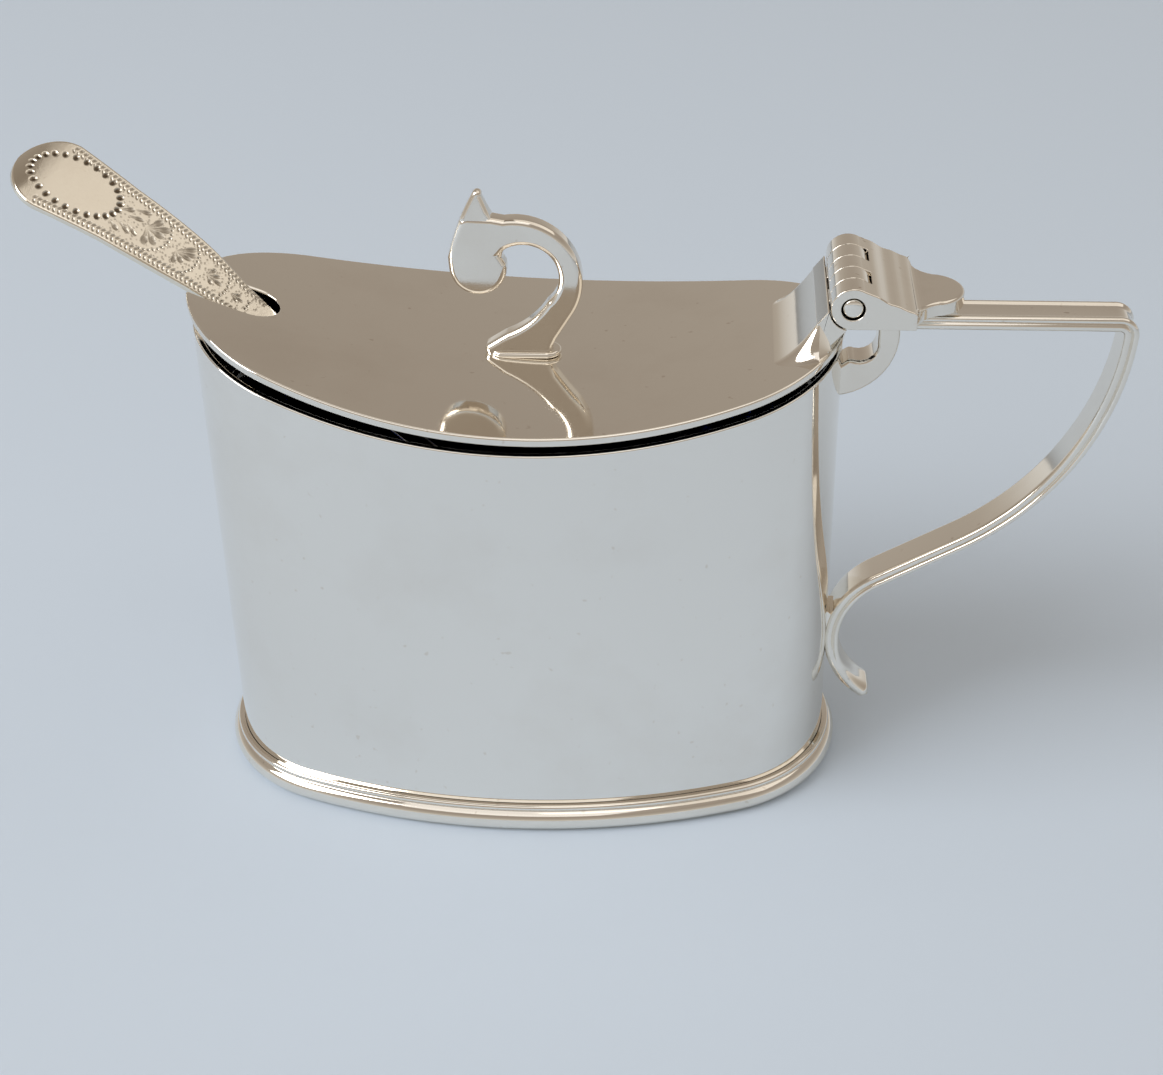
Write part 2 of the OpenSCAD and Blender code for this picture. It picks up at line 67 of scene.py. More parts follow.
def polished_silver(name, tone, rough, wobble, hairlines, tarnish):
    """Sterling silver, hand polished: a warm white mirror with a faint wobble where it was
    planished, hairlines that rubbing leaves in all directions, and thin brown sulphide."""
    material = bpy.data.materials.new(name)
    material.use_nodes = True
    tree = material.node_tree
    shader = tree.nodes["Principled BSDF"]
    shader.inputs["Metallic"].default_value = 1
    place = add(tree, "ShaderNodeTexCoord").outputs["Object"]
    # Cloudy tarnish, in patches about 16 mm across with a finer grain, and pits about 0.9 mm apart
    cloud = add(tree, "ShaderNodeTexNoise",
                {"Vector": place, "Scale": 1 / (16 * mm), "Detail": 5, "Roughness": 0.6}).outputs["Fac"]
    veil = add(tree, "ShaderNodeMapRange",
               {"Value": cloud, "From Min": 0.5, "From Max": 0.8, "To Max": tarnish})
    pits = add(tree, "ShaderNodeTexNoise",
               {"Vector": place, "Scale": 1 / (0.9 * mm), "Detail": 1}).outputs["Fac"]
    spot = add(tree, "ShaderNodeMapRange",
               {"Value": pits, "From Min": 0.73, "From Max": 0.8, "To Max": tarnish * 2})
    stain = add(tree, "ShaderNodeMath", {0: veil.outputs["Result"], 1: spot.outputs["Result"]},
                operation="MAXIMUM")
    colour = add(tree, "ShaderNodeMix",
                 {"Factor": stain.outputs[0], "A": linear(tone), "B": linear("A48A6C")}, data_type="RGBA")
    tree.links.new(colour.outputs["Result"], shader.inputs["Base Color"])
    # Hairlines 0.2 mm apart and 4 mm long, turned another way in each patch of 5 mm
    full_turn, hair_length, hair_gap = 6.2832, 4 * mm, 0.2 * mm
    patch = add(tree, "ShaderNodeTexVoronoi", {"Vector": place, "Scale": 1 / (5 * mm)})
    swing = add(tree, "ShaderNodeMath", {0: patch.outputs["Color"], 1: full_turn}, operation="MULTIPLY")
    turned = add(tree, "ShaderNodeVectorRotate",
                 {"Vector": place, "Axis": (0.42, 0.5, 0.757), "Angle": swing.outputs[0]},
                 rotation_type="AXIS_ANGLE")
    drawn = add(tree, "ShaderNodeMapping",
                {"Vector": turned.outputs["Vector"], "Scale": (1 / hair_length, 1 / hair_gap, 1 / hair_gap)})
    line = add(tree, "ShaderNodeTexNoise", {"Vector": drawn.outputs["Vector"], "Scale": 1, "Detail": 1})
    hair = add(tree, "ShaderNodeMapRange",
               {"Value": line.outputs["Fac"], "From Min": 0.7, "From Max": 0.84})
    dull = add(tree, "ShaderNodeMapRange",
               {"Value": cloud, "From Min": 0.3, "From Max": 0.75,
                "To Min": rough * 0.8, "To Max": rough * 1.45})
    gloss = add(tree, "ShaderNodeMath",
                {0: hair.outputs["Result"], 1: 0.12 * hairlines, 2: dull.outputs["Result"]},
                operation="MULTIPLY_ADD")
    tree.links.new(gloss.outputs[0], shader.inputs["Roughness"])
    # Planishing wobble, about 7 mm from hollow to hollow, under the hairlines
    swell = add(tree, "ShaderNodeTexNoise", {"Vector": place, "Scale": 1 / (7 * mm), "Detail": 1})
    soft = add(tree, "ShaderNodeBump",
               {"Height": swell.outputs["Fac"], "Strength": 1, "Distance": wobble * mm})
    scratch = add(tree, "ShaderNodeBump",
                  {"Height": hair.outputs["Result"], "Normal": soft.outputs["Normal"],
                   "Strength": hairlines, "Distance": 0.002 * mm}, invert=True)
    tree.links.new(scratch.outputs["Normal"], shader.inputs["Normal"])
    return material


def draw_out(way):
    """Extrudes what is selected by a way given in metres."""
    bpy.ops.mesh.extrude_region_move(TRANSFORM_OT_translate={"value": way})


def trace(name, start, moves, upright=False, fill=True):
    """A closed outline drawn from one vertex, in millimetres: a move is a point to go to, or an
    arc given by its centre, its turn in degrees and its steps. Upright draws it in X and Z."""
    def place(point):
        return Vector((point[0], 0, point[1]) if upright else (point[0], point[1], 0)) * mm
    bpy.ops.object.select_all(action="DESELECT")
    bpy.ops.mesh.primitive_plane_add(size=mm)
    piece = bpy.context.object
    piece.name = piece.data.name = name
    bpy.ops.object.mode_set(mode="EDIT")
    bpy.ops.mesh.select_all(action="SELECT")
    bpy.ops.mesh.merge(type="CENTER")
    bpy.ops.transform.translate(value=place(start))
    pen = Vector(start)
    for move in moves:
        if len(move) == 2:
            draw_out(place(move) - place(pen))
            pen = Vector(move)
        else:
            centre, turn, steps = move
            bpy.ops.mesh.spin(steps=steps, angle=radians(turn), center=place(centre),
                              axis=(0, 1, 0) if upright else (0, 0, -1))
            pen = Vector(centre) + Matrix.Rotation(radians(turn), 2) @ (pen - Vector(centre))
    bpy.ops.mesh.select_all(action="SELECT")
    bpy.ops.mesh.remove_doubles(threshold=weld)
    if fill:
        bpy.ops.mesh.edge_face_add()
    return piece


end_centre, side_centre = 17.85, 49
side_turn = 2 * math.degrees(math.atan(end_centre / side_centre))
end_turn = 180 - side_turn


def round_the_oval():
    """Carries the selected section from the handle's end once round the four arcs of the oval."""
    for x, y, turn, steps in ((end_centre, 0, end_turn / 2, 28), (0, -side_centre, side_turn, 40),
                              (-end_centre, 0, end_turn, 56), (0, side_centre, side_turn, 40),
                              (end_centre, 0, end_turn / 2, 28)):
        bpy.ops.mesh.spin(steps=steps, angle=radians(-turn), center=(x * mm, y * mm, 0), axis=(0, 0, 1))


def keep_flat(piece):
    """Lets the large faces set the shading, so that it doesn't swell towards rounded edges. The
    modifier passes over faces as small as these, so they are made larger while it works."""
    bpy.context.view_layer.objects.active = piece
    piece.data.transform(Matrix.Scale(1 / mm, 4))
    flat = piece.modifiers.new("flat faces", "WEIGHTED_NORMAL")
    flat.keep_sharp = True
    bpy.ops.object.modifier_apply(modifier=flat.name)
    piece.data.transform(Matrix.Scale(mm, 4))


def finish_mesh(piece, bevel=0, segments=3):
    """Closes the mesh, turns its faces outwards, rounds its sharp edges and smooths the shading."""
    bpy.context.view_layer.objects.active = piece
    bpy.ops.object.mode_set(mode="EDIT")
    bpy.ops.mesh.select_all(action="SELECT")
    bpy.ops.mesh.remove_doubles(threshold=weld)
    bpy.ops.mesh.normals_make_consistent(inside=False)
    bpy.ops.object.mode_set(mode="OBJECT")
    if bevel:
        edge = piece.modifiers.new("rounded edge", "BEVEL")
        edge.width = bevel * mm
        edge.segments = segments
        edge.limit_method = "ANGLE"
        edge.angle_limit = radians(38)
        edge.use_clamp_overlap = False
        bpy.ops.object.modifier_apply(modifier=edge.name)
    piece.select_set(True)
    bpy.ops.object.shade_smooth_by_angle(angle=radians(42))
    piece.select_set(False)
    keep_flat(piece)


def put_on(piece, node, body, material):
    """Gives a piece its material and sets it in the place of a CAD node."""
    piece.data.materials.clear()
    piece.data.materials.append(material)
    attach(piece, body)
    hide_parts(node)


silver_sheet = polished_silver("polished_silver_sheet", "F3F0EA", rough=0.05, wobble=0.012,
                               hairlines=0.5, tarnish=0.1)
wall_in, wall_out, wall_foot, lip = 31.2, 32, 0.6, 0.22
rim_height, rim_curve, rim_low_x, rim_centre_z = 50, 98, 3.5, 142.5
wall = trace("pot_wall", (wall_in, wall_foot), [
    (wall_out, wall_foot), (wall_out, rim_height - lip), ((wall_out - lip, rim_height - lip), 90, 4),
    (wall_in + lip, rim_height), ((wall_in + lip, rim_height - lip), 90, 4), (wall_in, wall_foot)],
    upright=True, fill=False)
round_the_oval()
bpy.ops.object.mode_set(mode="OBJECT")
for vertex in wall.data.vertices:
    if vertex.co.z > 40 * mm:
        dip = rim_centre_z - sqrt(rim_curve ** 2 - (vertex.co.x / mm - rim_low_x) ** 2)
        vertex.co.z += (dip - rim_height) * mm
finish_mesh(wall)
put_on(wall, "body_wall", "pot", silver_sheet)


# Base plate
# A flat oval of sheet silver let into the foot and soldered all round, so the pot is closed
# below. Its underside is scraped and left a little duller than the wall.

silver_base = polished_silver("scraped_silver_base", "E9E3D8", rough=0.16, wobble=0.01,
                              hairlines=1, tarnish=0.3)
base_end, base_height, base_thick = 31.15, 0.6, 0.8
base = trace("base_plate", (-base_end, 0), [
    ((-end_centre, 0), end_turn / 2, 20), ((0, side_centre), side_turn, 24), ((end_centre, 0), end_turn, 40),
    ((0, -side_centre), side_turn, 24), ((-end_centre, 0), end_turn / 2, 20)])
bpy.ops.transform.translate(value=(0, 0, base_height * mm))
draw_out((0, 0, base_thick * mm))
finish_mesh(base, 0.1, 2)
put_on(base, "base_plate", "pot", silver_base)


# Foot ring
# Moulded silver wire drawn through a die, bent round the wall and soldered: a half-round band
# to stand on, a groove, and a fine reed where it meets the wall.

silver_wire = polished_silver("drawn_silver_wire", "F2EDE4", rough=0.07, wobble=0.012,
                              hairlines=0.5, tarnish=0.15)
foot = trace("foot_ring", (30.6, 0), [
    (32.6, 0), ((32.6, 0.12), 90, 3), (32.75, 0.211), ((32.15, 1.25), 122, 18), (32.63, 2.36), (32.61, 2.42),
    (32.64, 2.48), ((32.42, 2.72), 160, 12), (32.05, 3.0), (32.05, 0.58), (30.6, 0.55), (30.6, 0)],
    upright=True, fill=False)
round_the_oval()
finish_mesh(foot)
put_on(foot, "foot_ring", "pot", silver_wire)


# Glass liner
# A cobalt blue glass cup, blown in an oval mould and fire polished at the lip, that keeps the
# mustard off the silver. It lifts out by hand once the lid is open.

cobalt_glass = bpy.data.materials.new("cobalt_blue_glass")
cobalt_glass.use_nodes = True
tree = cobalt_glass.node_tree
shader = tree.nodes["Principled BSDF"]
shader.inputs["Transmission Weight"].default_value = 1
shader.inputs["IOR"].default_value = 1.52
place = add(tree, "ShaderNodeTexCoord").outputs["Object"]
# Streaks of thicker colour from the gather, about 9 mm apart, and a faint mould chill every 4 mm
streak = add(tree, "ShaderNodeTexNoise", {"Vector": place, "Scale": 1 / (9 * mm), "Detail": 3})
tint = add(tree, "ShaderNodeMix",
           {"Factor": streak.outputs["Fac"], "A": linear("8CA4F8"), "B": linear("6480EA")}, data_type="RGBA")
tree.links.new(tint.outputs["Result"], shader.inputs["Base Color"])
chill = add(tree, "ShaderNodeTexNoise", {"Vector": place, "Scale": 1 / (4 * mm), "Detail": 2})
gleam = add(tree, "ShaderNodeMapRange", {"Value": chill.outputs["Fac"], "To Min": 0.02, "To Max": 0.09})
tree.links.new(gleam.outputs["Result"], shader.inputs["Roughness"])
wave = add(tree, "ShaderNodeBump", {"Height": chill.outputs["Fac"], "Strength": 1, "Distance": 0.03 * mm})
tree.links.new(wave.outputs["Normal"], shader.inputs["Normal"])
liner = trace("glass_liner", (26, 1.45), [
    (30.3, 1.45), ((30.3, 1.95), 90, 5), (30.8, 41.55), ((29.9, 41.55), 180, 12), (29, 7.05),
    ((26, 7.05), -90, 10)], upright=True, fill=False)
round_the_oval()
bpy.ops.mesh.select_all(action="SELECT")
bpy.ops.mesh.remove_doubles(threshold=weld)
bpy.ops.mesh.fill_holes(sides=0)
finish_mesh(liner)
put_on(liner, "glass_liner", "pot", cobalt_glass)


# Lid
# One plate of sheet silver, bent to the dip of the rim, with a notch sawn in its free end for
# the spoon. Its edge is filed round and the top is finished to a mirror.

silver_lid = polished_silver("polished_silver_lid", "F1ECE3", rough=0.05, wobble=0.007,
                             hairlines=0.5, tarnish=0.12)
notch_half, notch_centre, lid_end, lid_span, lid_slices = 2.6, -26.25, 14.45, 64.6, 64
lid_top, lid_under, lid_low_x, lid_centre_z = 89.1, 90, 4.1, 135.6
mouth = math.degrees(math.asin(notch_half / lid_end))
mouth_x = -end_centre - sqrt(lid_end ** 2 - notch_half ** 2)
lid = trace("lid_plate", (mouth_x, -notch_half), [
    ((-end_centre, 0), end_turn / 2 - mouth, 26), ((0, side_centre), side_turn, 40),
    ((end_centre, 0), end_turn, 56), ((0, -side_centre), side_turn, 40),
    ((-end_centre, 0), end_turn / 2 - mouth, 26), (notch_centre, notch_half), ((notch_centre, 0), -180, 24),
    (mouth_x, -notch_half)])
for i in range(1, lid_slices):
    bpy.ops.mesh.select_all(action="SELECT")
    bpy.ops.mesh.bisect(plane_co=((-lid_span / 2 + i * lid_span / lid_slices) * mm, 0, 0), plane_no=(1, 0, 0))
bpy.ops.mesh.select_all(action="SELECT")
draw_out((0, 0, mm))
bpy.ops.object.mode_set(mode="OBJECT")


def lid_height(x, radius=lid_top):
    """Height in millimetres of the lid's upper face, or of another face of the same dip."""
    return lid_centre_z - sqrt(radius ** 2 - (x - lid_low_x) ** 2)


for vertex in lid.data.vertices:
    upper = vertex.co.z > 0.5 * mm
    vertex.co.z = lid_height(vertex.co.x / mm, lid_top if upper else lid_under) * mm
finish_mesh(lid, 0.28, 4)
put_on(lid, "lid_plate", "lid", silver_lid)


# Hinge leaf on the lid
# A cast block with a bevelled back and two knuckles, soldered on the lid. A hollow fillet spreads
# its root over the lid and runs round its two corners.

silver_cast = polished_silver("cast_silver", "F0EAE0", rough=0.075, wobble=0.015,
                              hairlines=0.6, tarnish=0.2)
hinge_x, hinge_z, barrel, knuckle, bore, bore_length = 32.4, 54.7638, 2.1, 2.6, 1.14, 14
block_half, block_play, block_gap = 6.4, 0.14, 0.04


def cut_by(piece, cutter, operation="DIFFERENCE"):
    """Cuts a piece with another, or keeps what the two share, and takes the cutter away."""
    bpy.context.view_layer.objects.active = piece
    saw = piece.modifiers.new("cut", "BOOLEAN")
    saw.operation = operation
    saw.object = cutter
    bpy.ops.object.modifier_apply(modifier=saw.name)
    bpy.data.objects.remove(cutter)


def hinge_round(radius, length, y):
    """A round bar along the hinge's axis, to cut a bore or a knuckle's clearance."""
    bpy.ops.object.select_all(action="DESELECT")
    bpy.ops.mesh.primitive_cylinder_add(vertices=96, radius=radius * mm, depth=length * mm,
                                        location=(hinge_x * mm, y * mm, hinge_z * mm),
                                        rotation=(radians(90), 0, 0))
    return bpy.context.object


def joined(name, pieces):
    """Pieces soldered into one."""
    bpy.ops.object.select_all(action="DESELECT")
    for piece in pieces:
        piece.select_set(True)
    bpy.context.view_layer.objects.active = pieces[0]
    bpy.ops.object.join()
    pieces[0].name = pieces[0].data.name = name
    keep_flat(pieces[0])
    return pieces[0]


brow = (-3.35, -1.65)
block = trace("lid_leaf_block", (-3.3, -5.05), [
    (-2.75, -4.75), (-0.35, -2.0706), ((0, 0), 287.8, 70), (-2.3, -0.33), brow, (-3.3, -5.05)],
    upright=True)
bpy.ops.transform.translate(value=(hinge_x * mm, -block_half * mm, hinge_z * mm))
draw_out((0, 2 * block_half * mm, 0))
bpy.ops.mesh.select_all(action="SELECT")
bpy.ops.mesh.normals_make_consistent(inside=False)
bpy.ops.object.mode_set(mode="OBJECT")
for y in (-2 * knuckle, 0, 2 * knuckle):
    cut_by(block, hinge_round(barrel + block_play, knuckle + block_gap, y))
cut_by(block, hinge_round(bore, bore_length, 0))
finish_mesh(block, 0.1, 3)

# The fillet's section is drawn out from the near side, round the block and to the far side. On each
# half of its way it runs along the side, round the corner and along the back
fillet_run, fillet_steps, corner, sunk, toe_back, toe_side = 160, 20, 0.25, 0.03, 4.15, 2.05
past_side, past_corner = 0.25, 0.75
bpy.ops.object.select_all(action="DESELECT")
bpy.ops.mesh.primitive_grid_add(x_subdivisions=fillet_run, y_subdivisions=fillet_steps + 2, size=2)
fillet = bpy.context.object
back_x, side_y = hinge_x + brow[0] + sunk, block_half - sunk
for vertex in fillet.data.vertices:
    side = 1 if vertex.co.x > 0 else -1
    way = 1 - abs(vertex.co.x)
    step = round((vertex.co.y + 1) / 2 * (fillet_steps + 2))
    rise = hinge_z + brow[1] - lid_height(back_x)
    if way < past_side:
        f = way / past_side
        top = Vector((back_x + corner + 1.3 * (1 - f), side_y))
        toe = top + Vector((0, toe_side * f ** 0.8))
        rise *= f ** 0.85
    elif way < past_corner:
        f = (way - past_side) / (past_corner - past_side) * math.pi / 2
        top = Vector((back_x + corner * (1 - sin(f)), side_y - corner * (1 - cos(f))))
        toe = top + Vector((-toe_back * sin(f), toe_side * cos(f)))
    else:
        f = (way - past_corner) / (1 - past_corner)
        top = Vector((back_x, (side_y - corner) * (1 - f)))
        toe = top + Vector((-toe_back, 0))
    share = (step / fillet_steps) ** 1.25 if step <= fillet_steps else 0
    spot = top.lerp(toe, share)
    height = lid_height(spot.x) + rise * (1 - share) ** 1.7 - sunk * share
    if step == fillet_steps + 1:
        height = lid_height(spot.x) - 0.1
    vertex.co = Vector((spot.x, side * spot.y, height)) * mm
finish_mesh(fillet)
lid_leaf = joined("lid_hinge_leaf", [block, fillet])
put_on(lid_leaf, "lid_hinge_leaf", "lid", silver_cast)


# Hinge leaf on the handle
# A casting with three knuckles, a back filed in two soft waves and a tongue that lies over the
# handle on a narrow seat. Its outline was sawn in two hollow curves.

leaf_half, leaf_length, tongue_top, tongue_centre, tongue_end = 6.5, 6, -0.65, 7.55, 12
leaf_play, leaf_gap, slot_mid, slot_long, slot_tall = 0.08, 0.06, -0.65, 4.9, 6
seat_back, seat_half, seat_tall = 2.1, 1.8, 1.2
leaf_back = [(6.9, -0.65), (6.5, -0.62), (6.2, -0.54), (5.95, -0.4), (5.7, -0.26), (5.4, -0.15),
             (5.1, -0.04), (4.8, 0.1), (4.5, 0.26), (4.2, 0.39), (3.9, 0.48), (3.6, 0.56), (3.3, 0.68),
             (3, 0.86), (2.7, 1.06), (2.4, 1.25), (2.1, 1.4), (1.75, 1.53), (1.4, 1.675)]
leaf = trace("handle_leaf", (0, -barrel), [(tongue_end, -barrel), (tongue_end, tongue_top)] + leaf_back + [
    (barrel * cos(radians(60)), barrel * sin(radians(60))), ((0, 0), 210, 60)], upright=True)
bpy.ops.transform.translate(value=(hinge_x * mm, -leaf_half * mm, hinge_z * mm))
draw_out((0, 2 * leaf_half * mm, 0))
bpy.ops.mesh.select_all(action="SELECT")
bpy.ops.mesh.normals_make_consistent(inside=False)
bpy.ops.object.mode_set(mode="OBJECT")
# Plan of the leaf: square at the hinge, hollow on both sides and round at the tip
hollow, hollow_y = 3.8, leaf_half + 0.3
plan = trace("leaf_plan", (-3, -leaf_half), [
    (leaf_length + 0.012, -leaf_half), ((leaf_length + hollow, -hollow_y), -64, 20), (8.6, -3.28),
    ((tongue_centre, 0), 2 * math.degrees(math.atan2(3.28, 8.6 - tongue_centre)), 40), (8.134, 3.385),
    ((leaf_length + hollow, hollow_y), -64, 20), (-3, leaf_half), (-3, -leaf_half)])
bpy.ops.transform.translate(value=(hinge_x * mm, 0, (hinge_z - 3) * mm))
draw_out((0, 0, 6 * mm))
bpy.ops.mesh.select_all(action="SELECT")
bpy.ops.mesh.normals_make_consistent(inside=False)
bpy.ops.object.mode_set(mode="OBJECT")
cut_by(leaf, plan, "INTERSECT")
# Two slots for the knuckles of the lid, and the bore
for y in (-knuckle, knuckle):
    bpy.ops.object.select_all(action="DESELECT")
    bpy.ops.mesh.primitive_cube_add(size=mm, location=((hinge_x + slot_mid) * mm, y * mm, hinge_z * mm),
                                    scale=(slot_long, knuckle + leaf_gap, slot_tall))
    cut_by(leaf, bpy.context.object)
    cut_by(leaf, hinge_round(barrel + leaf_play, knuckle + leaf_gap, y))
cut_by(leaf, hinge_round(bore, bore_length, 0))
# The edges of the tongue and of the two cheeks are filed rounder than the rest
bpy.context.tool_settings.mesh_select_mode = (False, True, False)
for offset, chosen in (
        (0.36, lambda p: p.x > 6.1 and p.z > -0.75),
        (0.16, lambda p: abs(p.y) > leaf_half - 0.01 and p.x < 6 and p.z > -2.05 and p.xz.length > 1.3)):
    bpy.ops.object.mode_set(mode="EDIT")
    bpy.ops.mesh.select_all(action="DESELECT")
    bpy.ops.mesh.edges_select_sharp(sharpness=radians(50))
    bpy.ops.object.mode_set(mode="OBJECT")
    for edge in leaf.data.edges:
        ends = [leaf.data.vertices[i].co / mm - Vector((hinge_x, 0, hinge_z)) for i in edge.vertices]
        edge.select = edge.select and all(chosen(p) for p in ends)
    bpy.ops.object.mode_set(mode="EDIT")
    bpy.ops.mesh.bevel(offset=offset * mm, segments=4, affect="EDGES")
    bpy.ops.object.mode_set(mode="OBJECT")
bpy.context.tool_settings.mesh_select_mode = (True, False, False)
finish_mesh(leaf, 0.1, 3)
seat = trace("leaf_seat", (seat_back, -seat_half), [
    (tongue_centre - seat_half, -seat_half), ((tongue_centre - seat_half, 0), 180, 20), (seat_back, seat_half),
    (seat_back, -seat_half)])
bpy.ops.transform.translate(value=(hinge_x * mm, 0, (hinge_z - barrel - 0.75) * mm))
draw_out((0, 0, seat_tall * mm))
finish_mesh(seat, 0.1, 2)
handle_leaf = joined("handle_hinge_leaf", [leaf, seat])
put_on(handle_leaf, "handle_hinge_leaf", "pot", silver_cast)


# Hinge pin
# A length of drawn silver wire through the five knuckles, cut flush and lightly domed by the
# file at both ends.

pin = trace("hinge_pin", (0, -6.5), [
    (0.45, -6.48), (0.78, -6.41), (0.93, -6.3), (0.98, -6.15), (0.98, 6.15), (0.93, 6.3), (0.78, 6.41),
    (0.45, 6.48), (0, 6.5), (0, -6.5)], fill=False)
bpy.ops.transform.translate(value=(hinge_x * mm, 0, hinge_z * mm))
bpy.ops.mesh.spin(steps=48, angle=radians(360), center=(hinge_x * mm, 0, hinge_z * mm), axis=(0, 1, 0))
finish_mesh(pin)
put_on(pin, "hinge_pin", "pot", silver_wire)


# Straight strap of the handle
# A length of drawn strap, hollow on the outer face between two threads, with a groove along each
# side. It runs out level from the hinge, under the tongue of the leaf that is soldered on it.

strap_start, strap_mid = 34.5, 51.3388
strap_edge = [(-0.42, -0.9), (-0.46, -1.15), (-0.56, -1.4), (-0.65, -1.56), (-0.675, -1.7), (-0.64, -1.88),
              (-0.54, -2.02), (-0.38, -2.1), (-0.22, -2.07), (-0.11, -1.95), (-0.05, -1.85), (0.03, -1.89),
              (0.14, -2.02), (0.3, -2.09), (0.5, -2.08), (0.68, -1.98), (0.79, -1.8), (0.82, -1.6)]
strap_section = strap_edge + [(x, -y) for x, y in reversed(strap_edge)]
scroll_x, scroll_line, bend = 30, 29.475, 1.275
bend_x = scroll_x + sqrt(scroll_line ** 2 - 2 * scroll_line * bend)


def strap(name, x):
    """The strap's section, set up across the strap with its hollow face on top, to be drawn out."""
    piece = trace(name, strap_section[0], strap_section[1:] + strap_section[:1])
    bpy.ops.object.mode_set(mode="OBJECT")
    piece.rotation_euler = (0, radians(90), 0)
    piece.location = (x * mm, 0, strap_mid * mm)
    bpy.ops.object.transform_apply()
    bpy.ops.object.mode_set(mode="EDIT")
    bpy.ops.mesh.select_all(action="SELECT")
    return piece


top = strap("handle_top_strap", strap_start)
draw_out(((bend_x - strap_start) * mm, 0, 0))
finish_mesh(top)
put_on(top, "handle_top_strap", "pot", silver_wire)


# Scroll strap of the handle
# The same drawn strap, bent sharply at the corner and swept down to the wall, where it is held by a
# blob of solder and turns out again in a tail.

tail, tail_x, tail_round, tail_middle, slope = 8.4, 40.975, 0.72, 0.07, radians(60)
bend_turn = math.degrees(math.asin(bend / (scroll_line - bend)))
run = (scroll_x + (scroll_line + tail) / 2 - tail_x) / sin(slope)
tail_z = strap_mid - (scroll_line + tail) * sin(slope) - run * cos(slope)
scroll = strap("handle_scroll_strap", bend_x)
bpy.ops.mesh.spin(steps=20, angle=radians(-90 - bend_turn), center=(bend_x * mm, 0, (strap_mid - bend) * mm),
                  axis=(0, 1, 0))
bpy.ops.mesh.spin(steps=48, angle=radians(bend_turn - 60), center=(scroll_x * mm, 0, strap_mid * mm),
                  axis=(0, 1, 0))
draw_out((-run * sin(slope) * mm, 0, -run * cos(slope) * mm))
for turn, steps in ((115, 46), (5, 8)):
    bpy.ops.mesh.spin(steps=steps, angle=radians(turn), center=(tail_x * mm, 0, tail_z * mm), axis=(0, 1, 0))
bpy.ops.object.mode_set(mode="OBJECT")
# The threads are filed away from the wall to the tail's end, and the end is round
plain_edge = [(-0.675, -0.7), (-0.67, -0.95), (-0.655, -1.2), (-0.62, -1.42), (-0.56, -1.6), (-0.47, -1.77),
              (-0.36, -1.9), (-0.24, -1.98), (-0.13, -2.04), (-0.04, -2.07), (0.03, -2.085), (0.11, -2.09),
              (0.21, -2.08), (0.34, -2.05), (0.49, -1.98), (0.64, -1.86), (0.76, -1.7), (0.82, -1.5)]
at_wall, at_end, filed_over = 180, 240, 34
for vertex in scroll.data.vertices:
    arm = Vector((vertex.co.x / mm - tail_x, vertex.co.z / mm - tail_z))
    angle = math.degrees(math.atan2(arm.y, arm.x)) % 360
    if angle > at_wall:
        at = Vector((arm.length - tail, -abs(vertex.co.y) / mm))
        plain = min(zip(strap_edge, plain_edge), key=lambda pair: (Vector(pair[0]) - at).length)[1]
        fade = min((angle - at_wall) / filed_over, 1)
        at = at.lerp(Vector(plain), fade * fade * (3 - 2 * fade))
        left = min(radians(at_end - angle) * tail / tail_round, 1)
        draw_in = tail_round * (1 - sqrt(max(1 - (1 - left) ** 2, 0.01)))
        at.x += math.copysign(min(draw_in, abs(at.x - tail_middle)), tail_middle - at.x)
        at.y = min(at.y + draw_in, 0)
        vertex.co.y = math.copysign(at.y, vertex.co.y) * mm
        arm *= (tail + at.x) / arm.length
        vertex.co.x, vertex.co.z = (tail_x + arm.x) * mm, (tail_z + arm.y) * mm
finish_mesh(scroll)
# The solder fills the corner above the place where the strap touches the wall
solder_half = 1.8
solder = trace("handle_solder", (31.75, tail_z + 0.9), [
    (31.95, tail_z + 0.9), (32.13, tail_z + 2), (32.6, tail_z + 3.5), (32.3, tail_z + 3.05),
    (32.05, tail_z + 3.3), (31.75, tail_z + 3.5), (31.75, tail_z + 0.9)], upright=True)
bpy.ops.transform.translate(value=(0, -solder_half * mm, 0))
draw_out((0, 2 * solder_half * mm, 0))
finish_mesh(solder, 0.08, 3)
scroll = joined("handle_scroll_strap", [scroll, solder])
put_on(scroll, "handle_scroll_strap", "pot", silver_wire)


# Handle bracket
# A small cast crescent under the hinge that ties the handle to the wall and takes the strain
# when the lid is thrown open.

bracket_root, bracket_front, bracket_half = 31.5, 35.3, 1.7
bracket = trace("handle_bracket", (bracket_root, 42.962), [
    ((30.7, 49.664), 92.6, 12), (bracket_front, 50.764), (bracket_front, 49.029), ((33.6, 48.614), -133.7, 8),
    (bracket_root, 46.2), (bracket_root, 42.962)], upright=True)
bpy.ops.transform.translate(value=(0, -bracket_half * mm, 0))
draw_out((0, 2 * bracket_half * mm, 0))
finish_mesh(bracket, 0.42, 5)
put_on(bracket, "handle_bracket", "pot", silver_cast)


# Pad of the finial
# A thin oblong of sheet silver with round ends, soldered on the middle of the lid, so that the
# scroll has a wide foot.

finial_x, finial_z = 0.4, 46.577
pad_back, pad_front, pad_half = -1.75, 2.4, 1.55
pad = trace("finial_foot", (pad_back, -pad_half), [
    (pad_front, -pad_half), ((pad_front, 0), 180, 20), (pad_back, pad_half), ((pad_back, 0), 180, 20)])
bpy.ops.transform.translate(value=(finial_x * mm, 0, (finial_z - 0.05) * mm))
draw_out((0, 0, 0.65 * mm))
finish_mesh(pad, 0.3, 4)
put_on(pad, "finial_foot", "lid", silver_cast)


# Scroll of the finial
# Sawn from thick plate and filed round on its edges, soldered upright on its pad. A finger hooks
# under it to lift the lid.

